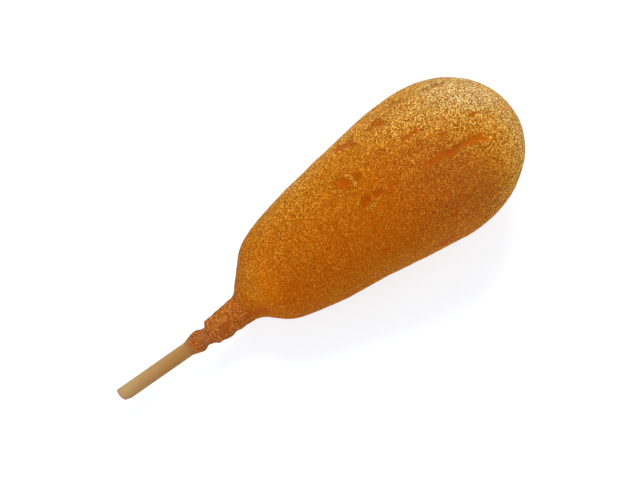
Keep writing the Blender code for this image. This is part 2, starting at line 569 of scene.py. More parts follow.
class Effects:
    """The node groups that more than one finish uses."""

    def __init__(self) -> None:
        """Builds each group once."""
        self._mottle = self._new_mottle()
        self._grain = self._new_grain()

    def _new_mottle(self) -> NodeTree:
        """Soft uneven patches.

        Returns:
            A group whose Mask is 1 inside them.
        """
        inputs = {"Position": None, "Scale": 100.0, "Low": 0.4, "High": 0.6}
        bench, given = new_effect("soft_mottle", inputs)
        cloud = bench.noise(given["Position"], given["Scale"], detail=3.0)["Fac"]
        return bench.put_out({"Mask": bench.rise(cloud, given["Low"], given["High"])})

    def _new_grain(self) -> NodeTree:
        """Small uneven grains, some pale and some dark, with curls of painted highlight and furrows of
        painted shade across them.

        Returns:
            A group whose Cell is a random value for each grain.
        """
        inputs = {"Position": None, "Scale": 1500.0, "Pale share": 0.2, "Dark share": 0.2}
        bench, given = new_effect("meal_grain", inputs)
        rise, times = bench.rise, bench.times
        spread = bench.scale(given["Position"], given["Scale"])
        bend = {0: bench.noise(spread, 0.9)["Color"], 1: (1.6, 1.6, 1.6), 2: spread}
        bent = bench.add("ShaderNodeVectorMath", bend, operation="MULTIPLY_ADD").outputs[0]
        cells = bench.add("ShaderNodeTexVoronoi", {"Vector": bent, "Scale": 1.0}, feature="F1").outputs
        chance = bench.channels(cells["Color"])
        middle = rise(cells["Distance"], GRAIN_EDGE, GRAIN_CORE)
        pale_from, dark_from = bench.minus(1.0, given["Pale share"]), given["Dark share"]
        pale_to, dark_to = bench.plus(pale_from, PALE_BLUR), bench.minus(dark_from, DARK_BLUR)
        pale = times(rise(chance["Red"], pale_from, pale_to), middle)
        dark = times(rise(chance["Green"], dark_from, dark_to), middle)
        # Curls are thin raised lines of painted highlight, and furrows thin lines of painted shade.
        level = bench.channels(bench.noise(spread, 0.30, roughness=0.6)["Color"])
        unbroken = rise(level["Green"], LINE_LOW, LINE_END)
        lines = []
        for colour in ("Red", "Blue"):
            below, above = (rise(level[colour], side, LINE_MIDDLE) for side in (LINE_LOW, LINE_HIGH))
            lines.append(times(below, above, unbroken))
        curl_highlight, furrow_shade = lines
        plain = times(bench.plus(middle, chance["Blue"]), 0.3)
        raised = bench.plus(plain, times(bench.reckon("MAXIMUM", pale, curl_highlight), 0.4))
        height = bench.minus(raised, times(dark, 0.3))
        made = {"Pale": pale, "Dark": dark, "Height": height, "Cell": chance["Blue"]}
        return bench.put_out({**made, "Curl highlight": curl_highlight, "Furrow shade": furrow_shade})

    def mask(self, bench: Bench, place: Socket, scale: float, low: float, high: float) -> Socket:
        """Puts the mottle into a material: so many patches to a metre, set in at low and full at high."""
        fed = {"Position": place, "Scale": scale, "Low": low, "High": high}
        return bench.add("ShaderNodeGroup", fed, node_tree=self._mottle).outputs["Mask"]

    def grains(self, bench: Bench, place: Socket, scale: float, pale: Source, dark: float) -> Sockets:
        """Puts grains into a material: so many to a metre, and these shares of them pale and dark."""
        fed = {"Position": place, "Scale": scale, "Pale share": pale, "Dark share": dark}
        return bench.add("ShaderNodeGroup", fed, node_tree=self._grain).outputs


def new_finish(name: str, roughness: float, specular: float) -> tuple[Material, Bench, Sockets]:
    """Starts a material.

    Args:
        name: The material's name.
        roughness: Its plain roughness.
        specular: Its specular level.

    Returns:
        The material, its bench and the inputs of its Principled shader.
    """
    material = bpy.data.materials.new(name)
    material.use_nodes = True
    shader = material.node_tree.nodes["Principled BSDF"].inputs
    shader["Roughness"].default_value = roughness
    shader["Specular IOR Level"].default_value = specular
    return material, Bench(material.node_tree), shader


# ---------------- finishes


@dataclass(frozen=True)
class CrustFinish:
    """Fried cornmeal batter: deep orange to golden, with pale grains, dark grains and smooth skin.

    The golden tone is partly the crust's own colour and partly painted sheen and highlight.
    Pale grains are partly painted glints, dark grains are painted shade in small pits, pale
    curls are painted highlight along raised lines and dark furrows are painted shade; the
    light value holds painted light and shade. Dark grains, furrows, toasted patches and red
    spots each keep a share of the crust's own red, green and blue.
    """

    deep: Colour = (0.385, 0.078, 0.0006)
    orange: Colour = (0.415, 0.112, 0.0008)
    amber: Colour = (0.450, 0.138, 0.0020)
    golden: Colour = (0.485, 0.172, 0.006)
    warm_grain_glint: Colour = (0.97, 0.42, 0.036)
    light_grain_glint: Colour = (1.00, 0.495, 0.056)
    pale_grain_glint: Colour = (1.00, 0.66, 0.155)
    cream_grain_glint: Colour = (1.00, 0.87, 0.39)
    peach_grain_glint: Colour = (0.96, 0.47, 0.135)
    pit_shade: Colour = (0.25, 0.09, 0.01)
    furrow_shade: Colour = (0.36, 0.18, 0.03)
    toasted: Colour = (0.90, 0.72, 0.40)
    skin: Colour = (0.345, 0.058, 0.001)
    light_skin: Colour = (0.440, 0.114, 0.003)
    red: Colour = (0.97, 0.70, 0.35)
    film: Colour = (0.295, 0.091, 0.032)
    glaze: Colour = (0.315, 0.155, 0.050)
    gloss_tint: Colour = (1.0, 0.62, 0.14)
    collar_share: float = 0.6
    relief: float = 0.19 * MM

    def make(self, effects: Effects) -> Material:
        """Builds the material.

        Args:
            effects: The shared node groups.

        Returns:
            A material that reads the coat's painted values.
        """
        material, bench, shader = new_finish("fried_crust", roughness=0.6, specular=0.02)
        place = bench.place()
        mix, rise, times = bench.mix, bench.rise, bench.times
        names = ("gold_and_sheen", "grain", "skin", "red", "film", "glaze", "collar", "light")
        told = {name: bench.painted(name) for name in names}
        gold_and_sheen = told["gold_and_sheen"]
        pale_share = rise(gold_and_sheen, 0.0, 1.0, 0.08, 0.26)
        meal = effects.grains(bench, place, scale=4300.0, pale=pale_share, dark=0.34)
        flecks = effects.grains(bench, place, scale=3100.0, pale=0.10, dark=0.18)
        edges = effects.mask(bench, place, scale=1300.0, low=0.30, high=0.70)
        torn = bench.plus(times(edges, 0.35), times(meal["Cell"], 0.45))
        smooth = rise(bench.minus(told["skin"], torn), 0.0, 0.30)
        grainy = times(told["grain"], bench.minus(1.0, times(smooth, 0.75)))
        # The colour under the grains.
        patches = effects.mask(bench, place, scale=130.0, low=0.45, high=0.70)
        clouds = effects.mask(bench, place, scale=430.0, low=0.42, high=0.66)
        tone = bench.plus(gold_and_sheen, times(clouds, 0.06))
        tones = (self.deep, self.orange, self.amber, self.golden)
        base = bench.ramp(tone, *zip((0.0, 0.3, 0.65, 1.0), tones))
        base = mix(times(patches, 0.35), base, self.toasted, "MULTIPLY")
        base = mix(told["film"], base, self.film)
        # The grains, the coarser ones underneath, with furrows and curls: pale grains are partly painted
        # glints, dark grains painted shade in small pits, furrows painted shade and curls painted
        # highlight.
        pales = (self.warm_grain_glint, self.light_grain_glint, self.pale_grain_glint, self.cream_grain_glint)
        pale = bench.ramp(gold_and_sheen, *zip((0.0, 0.35, 0.75, 1.0), pales))
        pale = mix(times(told["collar"], self.collar_share), pale, self.peach_grain_glint)
        depth = times(grainy, rise(gold_and_sheen, 0.0, 0.6, 0.70, 1.0))
        for grains, weight in ((flecks, 0.85), (meal, 1.0)):
            over, under = times(grainy, weight), times(depth, weight)
            base = mix(times(grains["Pale"], over), base, pale)
            base = mix(times(grains["Dark"], under), base, self.pit_shade, "MULTIPLY")
        base = mix(times(meal["Furrow shade"], depth), base, self.furrow_shade, "MULTIPLY")
        raised = times(depth, rise(gold_and_sheen, 0.0, 0.5, 0.65, 1.0))
        base = mix(times(meal["Curl highlight"], raised), base, pale)
        # The smooth skin where the crust is torn, and the glaze at the collar's end.
        shown = mix(mix(0.5, meal["Cell"], edges), self.skin, self.light_skin)
        shown = mix(times(told["collar"], self.collar_share), shown, self.film)
        base = mix(times(smooth, times(told["skin"], 0.9)), base, shown)
        base = mix(times(told["red"], smooth), base, self.red, "MULTIPLY")
        base = mix(told["glaze"], base, self.glaze)
        # Painted light and shade, with some of the collar's own tone, make the colour lighter or darker.
        light = rise(told["light"], 0.0, 1.0, DARKEST, LIGHTEST)
        bench.feed(shader["Base Color"], bench.scale(base, light))
        bench.feed(shader["Roughness"], rise(smooth, 0.0, 1.0, 0.70, 0.50))
        rough = bench.plus(meal["Height"], times(flecks["Height"], 0.6))
        height = times(rough, rise(grainy, 0.0, 1.0, 0.15, 1.0))
        bench.feed(shader["Normal"], bench.bump(height, 1.0, self.relief))
        shader["Specular Tint"].default_value = (*self.gloss_tint, 1.0)
        return material


@dataclass(frozen=True)
class WoodFinish:
    """Unvarnished pale wood with fine streaks along its grain, stained by oil near the food."""

    pale: Colour = (0.405, 0.258, 0.116)
    streak: Colour = (0.345, 0.200, 0.083)
    band: Colour = (0.375, 0.255, 0.075)
    stained: Colour = (0.320, 0.150, 0.040)
    cut_end: Colour = (0.390, 0.190, 0.120)
    relief: float = 0.06 * MM

    def make(self, effects: Effects) -> Material:
        """Builds the material.

        Args:
            effects: The shared node groups.

        Returns:
            A material that reads the dowel's painted values.
        """
        material, bench, shader = new_finish("dowel_wood", roughness=0.65, specular=0.08)
        mix, times = bench.mix, bench.times
        drawn = bench.add("ShaderNodeAttribute", attribute_name="fibre").outputs["Vector"]
        stain = bench.painted("stain")
        streaks = effects.mask(bench, drawn, scale=1500.0, low=0.38, high=0.66)
        bands = effects.mask(bench, drawn, scale=420.0, low=0.42, high=0.62)
        pores = effects.grains(bench, drawn, scale=2400.0, pale=0.2, dark=0.35)
        base = mix(times(bands, 0.45), self.pale, self.band)
        base = mix(times(streaks, 0.65), base, self.streak)
        base = mix(times(pores["Dark"], 0.35), base, self.streak)
        # Darker along the top.
        base = mix(bench.painted("darker_top"), base, self.streak)
        base = mix(stain, base, self.stained)
        base = mix(bench.painted("cut"), base, self.cut_end)
        bench.feed(shader["Base Color"], base)
        bench.feed(shader["Roughness"], bench.rise(stain, 0.0, 1.0, 0.70, 0.50))
        height = bench.plus(times(streaks, 0.5), pores["Height"])
        bench.feed(shader["Normal"], bench.bump(height, 0.6, self.relief))
        return material


@dataclass(frozen=True)
class PaperFinish:
    """The studio's pale matt paper, lit a little from below."""

    white: Colour = (0.475, 0.505, 0.545)
    shade: Colour = (0.455, 0.485, 0.527)
    glow: float = 0.60

    def make(self, effects: Effects) -> Material:
        """Builds the material.

        Args:
            effects: The shared node groups.

        Returns:
            A material with faint clouds that glows a little.
        """
        material, bench, shader = new_finish("pale_paper", roughness=0.9, specular=0.1)
        clouds = effects.mask(bench, bench.place(), scale=8.0, low=0.3, high=0.7)
        bench.feed(shader["Base Color"], bench.mix(clouds, self.white, self.shade))
        shader["Emission Color"].default_value = WHITE
        shader["Emission Strength"].default_value = self.glow
        return material


# ---------------- the stick


@dataclass
class Dowel:
    """The wooden stick, blunt at both ends, most of it hidden in the food."""

    diameter: float = 5.0 * MM
    length: float = 140.0 * MM
    start_side: float = -0.85 * MM
    yaw: float = math.radians(-1.3)
    worn: float = 0.28 * MM
    worn_rings: int = 5
    chamfer: float = 0.40 * MM
    slant: float = 0.30 * MM
    slant_reach: float = 2.2 * MM
    set_back: float = 0.10 * MM
    cap_counts: tuple[int, ...] = (12, 24, 48)
    segments: int = 96
    shown: float = 34.0 * MM
    shown_step: float = 0.35 * MM
    hidden_step: float = 8.0 * MM
    fibre_stretch: float = 0.06
    fibre_depth: float = 0.035 * MM
    fibres: tuple[Layer, ...] = ((1.0, 0.45, 0.0), (0.6, 1.3, 7.0))
    cut_roughness: Layer = (0.10, 0.7, 3.0)
    stain_from: float = 1.0 * MM
    stain_to: float = 28.0 * MM
    stain_tongues: Layer = (0.20, 1.6, 11.0)

    @property
    def radius(self) -> float:
        """Half the dowel's thickness."""
        return self.diameter / 2

    def side(self, along: Array | float) -> Array | float:
        """How far the stick's axis lies beside the food's axis at a station."""
        return self.start_side + along * math.tan(self.yaw)

    def _rings(self) -> RingMesh:
        """The dowel's rings.

        Returns:
            Rings from the middle of the cut end, round its worn edge, to the hidden end.
        """
        body = RingMesh()
        body.add(0.0, 0.0, 1)
        flat = self.radius - self.worn
        for count in (*self.cap_counts, self.segments):
            body.add(0.0, flat * count / self.segments, count)
        for ring in range(1, self.worn_rings + 1):
            turn = math.pi / 2 * ring / self.worn_rings
            body.add(self.worn * (1 - math.cos(turn)), flat + self.worn * math.sin(turn), self.segments)
        along = self.worn
        while along < self.length - self.worn:
            along += self.shown_step if along < self.shown else self.hidden_step
            body.add(min(along, self.length - self.worn), self.radius, self.segments)
        for count in reversed(self.cap_counts):
            body.add(self.length, flat * count / self.segments, count)
        body.add(self.length, 0.0, 1)
        return body

    def build(self) -> Object:
        """Makes the dowel, with fine ridges along its fibres.

        Returns:
            The dowel's object, still along the food's own axis.
        """
        body = self._rings()
        at = body.places()
        fibre = turned(at.along * self.fibre_stretch, at.radius, at.azimuth)
        share, sideways = at.radius / self.radius, np.sin(at.azimuth)
        end = smoothstep(self.worn * 1.2, 0.0, at.along)
        near = smoothstep(self.slant_reach, 0.0, at.along)
        ridges = self.fibre_depth * noise_at(fibre, *self.fibres)
        grown = at.radius + ridges * smoothstep(0.0, 1.0 * MM, at.radius) * (1.0 - end)
        grown -= self.chamfer * near * share * np.clip(-sideways, 0.0, 1.0) ** 2
        rough = MM * noise_at(fibre, self.cut_roughness) * (at.radius < self.radius - self.worn / 2)
        x = at.along + end * rough - near * (self.slant * sideways * share + self.set_back)
        mesh = body.build("dowel", turned(x, grown, at.azimuth, self.side(at.along)))
        layer = mesh.attributes.new("fibre", "FLOAT_VECTOR", "POINT")
        layer.data.foreach_set("vector", fibre.astype(np.float32).ravel())
        oil = (at.along - self.stain_from) / (self.stain_to - self.stain_from)
        oil += noise_at(fibre, self.stain_tongues) * smoothstep(0.3, 1.0, oil) - 0.35 * sideways
        # The wood is darker along its top, from 3 mm on.
        darker_top = 0.7 * bell(-12, 32, at.turn) * smoothstep(3, 9, at.station)
        cut = np.maximum(end * 0.9, 0.75 * smoothstep(1.4, 0.6, at.station))
        store(mesh, {"stain": oil, "darker_top": darker_top, "cut": cut})
        return new_object("dowel", mesh)

    def dress(self, dowel: Object, wood: Material) -> None:
        """Gives the dowel its finish and its place among the frame's pieces.

        Args:
            dowel: The dowel's object.
            wood: Its material.
        """
        dowel.data.materials.append(wood)
        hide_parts("stick")
        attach(dowel, "root")


# ---------------- the coat


@dataclass(frozen=True)
class Station:
    """A ring of the coat: its place along the axis, its radius and its sideways drift, in mm."""

    along: float
    radius: float
    side: float


@dataclass
class Coat:
    """The fried batter: a tapering body with a round nose, and a ragged collar on the stick."""

    dowel: Dowel
    edge: Station = Station(26.9, 2.43, -1.46)
    film: Station = Station(28.7, 2.82, -1.45)
    ring: Station = Station(32.0, 3.52, -1.42)
    waist: Station = Station(34.3, 2.82, -1.62)
    lip_foot: Station = Station(36.2, 3.10, -1.90)
    lip: Station = Station(37.5, 4.20, -1.50)
    sleeve: Station = Station(40.2, 4.53, -1.50)
    sleeve_top: Station = Station(45.5, 4.88, -1.42)
    neck: Station = Station(49.1, 5.17, -1.45)
    shoulder_root: Station = Station(50.8, 5.50, -1.14)
    shoulder_foot: Station = Station(52.8, 6.84, -0.20)
    shoulder: Station = Station(55.5, 8.85, 0.42)
    shoulder_slope: Station = Station(57.8, 11.0, 0.63)
    shoulder_top: Station = Station(60.7, 13.68, 0.80)
    crown: Station = Station(63.7, 15.38, 0.87)
    crown_top: Station = Station(70.6, 17.4, 1.05)
    flank: Station = Station(80.5, 19.55, 1.07)
    hip: Station = Station(94.5, 21.5, 1.05)
    middle: Station = Station(108.5, 23.7, 0.58)
    belly_foot: Station = Station(119.0, 25.1, 0.50)
    belly: Station = Station(125.5, 25.45, 0.27)
    nose_station: float = 157.9 * MM
    nose_power: float = 2.07
    nose_side: float = -0.40 * MM
    socket_gap: float = 0.03 * MM
    socket_mouth: float = 28.4 * MM
    socket_throat: float = 29.8 * MM
    collar_step: float = 0.25 * MM
    body_step: float = 0.46 * MM
    collar_edge: float = 0.36 * MM
    body_edge: float = 0.50 * MM
    fewest: int = 12
    outline_points: int = 6000
    ragged_edge: float = 0.60 * MM
    torn_edge: float = 0.25 * MM
    ragged_to: float = 47.5
    tears: tuple[Layer, ...] = ((1.0, 2.4, 0.0), (0.6, 1.1, 8.0))
    film_roughness: float = 0.05 * MM
    collar_roughness: float = 0.12
    swell: float = 0.28 * MM
    lumps: Layer = (0.16, 9.0, 1.0)
    knobs: Layer = (0.07, 4.2, 23.0)
    pebbles: tuple[Layer, ...] = ((0.07, 2.1, 4.0), (0.063, 1.1, 6.0))
    crumbs: Layer = (0.10, 0.95, 27.0)
    wobble: tuple[Layer, ...] = ((1.0, 1.9, 9.0), (0.8, 0.9, 13.0))
    streaks: float = 0.08 * MM
    streak_lines: Layer = (1.0, 2.0, 21.0)
    streak_stretch: float = 0.12
    paint_radius: float = 24 * MM
    rest_from: float = 75.5 * MM
    rest_to: float = 121.5 * MM
    marks: tuple[Mark, ...] = ()

    @property
    def stations(self) -> tuple[Station, ...]:
        """The coat's rings from the film's edge on the stick to the fattest one."""
        return tuple(value for value in vars(self).values() if isinstance(value, Station))

    def _through(self, measure: str, along: Array | float) -> Array:
        """One measure of the rings as a curve over the stations, all in metres."""
        rings = [(ring.along * MM, getattr(ring, measure) * MM) for ring in self.stations]
        return smooth_through(*zip(*rings), np.asarray(along, float))

    def radius_at(self, along: Array | float) -> Array:
        """The radius of the coat behind its fattest ring."""
        return self._through("radius", along)

    def drift_at(self, along: Array) -> Array:
        """How far the middle of the coat lies beside the food's axis.

        Args:
            along: Stations in metres.

        Returns:
            The distances in metres, positive towards +Y.
        """
        fattest = self.belly.along * MM
        reach = np.clip((along - fattest) / (self.nose_station - fattest), 0.0, 1.0)
        return self._through("side", along) + (self.nose_side - self.belly.side * MM) * reach**2

    def pitch(self) -> float:
        """How far the food leans down towards its stick, to lie on its flank."""
        rear, front = self.radius_at(self.rest_from), self.radius_at(self.rest_to)
        return math.atan2(float(front - rear), self.rest_to - self.rest_from)

    def _outline(self) -> tuple[Array, Array]:
        """The turned outline, from the film's edge to the nose's tip.

        Returns:
            The stations and the radii of finely spaced points.
        """
        start, end = self.edge.along * MM, self.belly.along * MM
        along = np.linspace(start, end, self.outline_points)
        angle = np.linspace(0.0, math.pi / 2, self.outline_points // 2)[1:]
        nose = end + (self.nose_station - end) * np.sin(angle) ** (2 / self.nose_power)
        dome = self.belly.radius * MM * np.clip(np.cos(angle), 0.0, 1.0) ** (2 / self.nose_power)
        return np.concatenate([along, nose]), np.concatenate([self.radius_at(along), dome])

    def _rings(self) -> tuple[RingMesh, int]:
        """Rings of even spacing, closed by the socket that the dowel fills.

        Returns:
            The rings, and how many of them are the socket's.
        """
        body = RingMesh()
        few, depth, socket = self.fewest, self.dowel.length, self.dowel.radius + self.socket_gap
        body.add(depth, 0.0, 1)
        body.add(depth, socket / 2, few)
        for reach, share in ((depth, 2), (self.socket_throat, 2), (self.socket_mouth, 4)):
            body.add(reach, socket, few * share)
        inner = len(body.rings)
        along, radius = self._outline()
        root = self.shoulder_foot.along * MM
        step = np.where(along < root, self.collar_step, self.body_step)
        lengths = np.hypot(np.diff(along), np.diff(radius)) / step[1:]
        travelled = np.concatenate([[0.0], np.cumsum(lengths)])
        places = np.linspace(0.0, travelled[-1], int(travelled[-1]))
        along, radius = (np.interp(places, travelled, line) for line in (along, radius))
        for here, size in zip(along[:-1], radius[:-1]):
            edge = self.collar_edge if here < root else self.body_edge
            doublings = max(0, math.ceil(math.log2(max(math.tau * size / edge / few, TINY))))
            body.add(here, size, few * 2**doublings)
        body.add(along[-1], 0.0, 1)
        return body, inner

    def _shape(self, at: Places, outer: Array) -> Array:
        """Vertices of the uneven but still smooth coat.

        Args:
            at: The vertices' places.
            outer: True outside the socket.

        Returns:
            One point a row, in the food's own frame.
        """
        azimuth, station, start = at.azimuth, at.station, self.edge.along
        wave = np.sin(2 * azimuth + 70 * at.along) + 0.6 * np.sin(3 * azimuth - 110 * at.along + 1.9)
        grown = at.radius + self.swell * wave * (at.radius / (self.belly.radius * MM)) ** 2
        # The collar and the thin film on the stick are uneven, and their edge is ragged.
        torn = noise_at(turned(at.along, self.dowel.diameter, azimuth), *self.tears)
        collar = smoothstep(self.shoulder_foot.along, self.sleeve_top.along, station)
        wall = np.clip(at.radius - self.dowel.radius, 0.0, 1.5 * MM)
        grown += outer * self.collar_roughness * collar * torn * wall
        crisp = smoothstep(start, start + 0.6, station) * smoothstep(33, 29, station)
        grown += outer * self.film_roughness * torn * crisp
        share = np.clip(1.0 - (station - start) / (self.ragged_to - start), 0.0, 1.0)
        share *= smoothstep(start, start + 3.6, station)
        tear = np.sin(azimuth - 0.5) + 0.5 * np.sin(3 * azimuth + 0.8) + 0.35 * np.sin(7 * azimuth + 2.0)
        x = at.along + outer * share * (self.ragged_edge * tear + self.torn_edge * torn)
        side = np.where(outer, self.drift_at(at.along), self.dowel.side(at.along))
        return turned(x, grown, azimuth, side)

    def _golden_tone_and_sheen(self, at: Places, patchy: Array) -> Array:
        """How golden the crust is, partly its own colour and partly painted sheen and highlight: most at
        the nose, least along the middle of the shown side.

        The formulas give azimuths in degrees and stations in mm.

        Args:
            at: The vertices' places.
            patchy: Noise of about -1 to 1.

        Returns:
            0 where the crust is deep orange, 1 where it is golden.
        """
        turn, station = at.turn, at.station
        # Painted highlight on the nose's bright side, painted sheen towards both rims, and painted light
        # on the crown.
        bright = bell(45, 30, turn)
        far = np.maximum(smoothstep(-45, -75, turn), smoothstep(75, 110, turn))
        nose = smoothstep(131.5 - 25 * bright - 10 * far, 166 - 15 * bright, station)
        left = smoothstep(-10, 90, turn) * (1.0 - 0.5 * smoothstep(100, 170, turn))
        root = smoothstep(76, 62, station)
        side = 0.02 + (0.50 - 0.19 * root) * np.maximum(left, 0.5 * smoothstep(-25, -90, turn))
        side += 0.12 * smoothstep(45, 75, turn) * smoothstep(170, 110, turn) * smoothstep(72, 92, station)
        side += 0.24 * bell(59, 5, station) * bell(5, 30, turn)
        gold_and_sheen = 1.0 - (1.0 - nose) * (1.0 - side)
        tip = smoothstep(150, 157.5, station)
        return gold_and_sheen + (0.82 - gold_and_sheen) * tip + 0.06 * patchy

    def _painted_light_and_shade(self, at: Places) -> Array:
        """How much lighter than plain the crust is painted: painted light and painted shade.

        The formulas give azimuths in degrees and stations in mm.

        Args:
            at: The vertices' places.

        Returns:
            The change of its lightness, below 0 where it is darker.
        """
        turn, station = at.turn, at.station
        # Painted light on the right flank, painted shade on the nose's left side, and painted light on
        # the nose's right side and the belly's right side.
        light = 0.05 * smoothstep(-12, -45, turn) * smoothstep(60, 75, station)
        light -= 0.17 * smoothstep(40, 72, turn) * smoothstep(132, 147, station)
        light += 0.09 * smoothstep(45, -40, turn) * smoothstep(134, 150, station)
        light += 0.10 * smoothstep(-35, -75, turn) * smoothstep(108, 122, station)
        # Painted light on the crown and in a band along the top. The underside and the nose's tip stay
        # plain.
        light += 0.19 * bell(61.5, 8, station) * bell(-12, 38, turn)
        light += 0.05 * bell(16, 20, turn) * smoothstep(56, 70, station) * smoothstep(138, 126, station)
        light *= smoothstep(172, 115, np.abs(turn)) * smoothstep(158.5, 150, station)
        # Painted light on the nose and the collar, and painted shade on the outer sides of the rear
        # flank.
        light += 0.06 * smoothstep(138, 152, station)
        light += 0.05 * smoothstep(35, 38, station) * smoothstep(52, 48, station)
        rims = smoothstep(45, 75, turn) + smoothstep(-50, -80, turn)
        return light - 0.10 * rims * smoothstep(100, 78, station)

    def _looks(self, at: Places, marked: Marked, outer: Array, streak: Array) -> dict[str, Array]:
        """What the finish needs to know of each vertex.

        Args:
            at: The vertices' places.
            marked: What the marks did to each vertex.
            outer: True outside the socket.
            streak: Fine lines along the nose, below 0 in their hollows; in the light value they paint
                shade in the hollows and light on the ridges.

        Returns:
            The values to store, by name.
        """
        station = at.station
        spread = turned(at.along, self.paint_radius, at.azimuth)
        patchy = noise_at(spread, (1.0, 16, 2.0), (0.5, 6, 5.0))
        uneven = noise_at(spread, (1.0, 1.5, 17.0), (0.6, 3.0, 19.0))
        body, collar = smoothstep(50, 60, station), 1.0 - smoothstep(48, 56, station)
        speck = collar * noise_at(spread, (1.0, 1.9, 25.0))
        wall = np.where(outer, at.radius - self.dowel.radius, 1.0) / MM
        thin = smoothstep(0.85, 0.25, wall + 0.25 * uneven) * smoothstep(38, 36, station)
        glaze = smoothstep(32.0, 27.4, station + 1.6 * uneven + 1.2 * np.cos(2 * at.azimuth))
        # A greyish painted sheen across the nose's approach, laid on as film colour and as light.
        painted_sheen = 0.25 * smoothstep(106, 136, station) * smoothstep(150, 137, station)
        gold_and_sheen = self._golden_tone_and_sheen(at, patchy)
        # The light value: painted light and shade, painted shade in the marks' hollows, painted sheen
        # across the nose's approach, painted shade and light along the nose's fine lines, and some of the
        # collar's own tone.
        light = self._painted_light_and_shade(at) + 0.08 * speck + 0.1 * painted_sheen - 0.22 * marked.dark + 0.13 * streak
        # Grains are stronger on the left flank, on the key lamp's side, and towards the nose, where their
        # specks are partly painted glints and shade.
        left = smoothstep(0.2, 1.0, np.cos(at.azimuth - math.radians(62)))
        grain = 0.56 + 0.20 * left + 0.18 * smoothstep(100, 128, station)
        grain += 0.35 * gold_and_sheen * body + 0.30 * collar + 0.12 * patchy + marked.rim
        return {
            "gold_and_sheen": gold_and_sheen * (0.45 + 0.55 * body) + 0.16 * speck + marked.pale,
            "light": 0.5 + light / LIGHT_SLOPE,
            "grain": grain * (1.0 - 0.6 * thin) * (1.0 - 0.8 * glaze),
            "skin": np.maximum(marked.skin, 0.5 * thin),
            "red": marked.red,
            "film": collar * (0.25 + 0.15 * smoothstep(44, 40, station)) + 0.5 * thin + painted_sheen,
            "glaze": 0.9 * glaze,
            "collar": collar,
        }

    def build(self) -> Object:
        """Makes the coat: its form, its relief and its painted values.

        Returns:
            The coat's object, still along the food's own axis.
        """
        body, inner = self._rings()
        at = body.places()
        outer = np.arange(len(at.along)) >= body.rings[inner][0]
        points = self._shape(at, outer)
        mesh = body.build("fried_batter", points, hard=inner)
        normals = rows_of(mesh.vertex_normals, "vector")
        marked = Marked.by(self.marks, at, noise_at(points, *self.wobble))
        rough = np.clip((at.radius - self.dowel.radius) / (2 * MM), 0.0, 1.0)
        relief = noise_at(points, self.lumps, self.knobs)
        relief += noise_at(points, *self.pebbles) * (1.0 - 0.75 * marked.skin)
        relief += noise_at(points, self.crumbs) * (0.55 + 0.45 * smoothstep(56, 48, at.station))
        drawn = turned(at.along * self.streak_stretch, self.paint_radius, at.azimuth)
        streak = noise_at(drawn, self.streak_lines) * smoothstep(100, 130, at.station)
        streak *= np.clip(at.radius / (16 * MM), 0, 1)
        height = marked.height + MM * relief * rough + self.streaks * streak
        move_to(mesh, points + normals * (height * outer)[:, None])
        store(mesh, self._looks(at, marked, outer, streak))
        return new_object("fried_batter", mesh)

    def press_flat(self, batter: Object) -> None:
        """Presses what lies below the table plane level with it.

        Args:
            batter: The coat's object, in the frame.
        """
        points = rows_of(batter.data.vertices, "co")
        points[:, 2] = np.maximum(points[:, 2], 0.0)
        move_to(batter.data, points)

    def dress(self, batter: Object, crust: Material) -> None:
        """Gives the coat its finish and its place among the frame's pieces.

        Args:
            batter: The coat's object.
            crust: Its material.
        """
        batter.data.materials.append(crust)
        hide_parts("batter")
        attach(batter, "root")


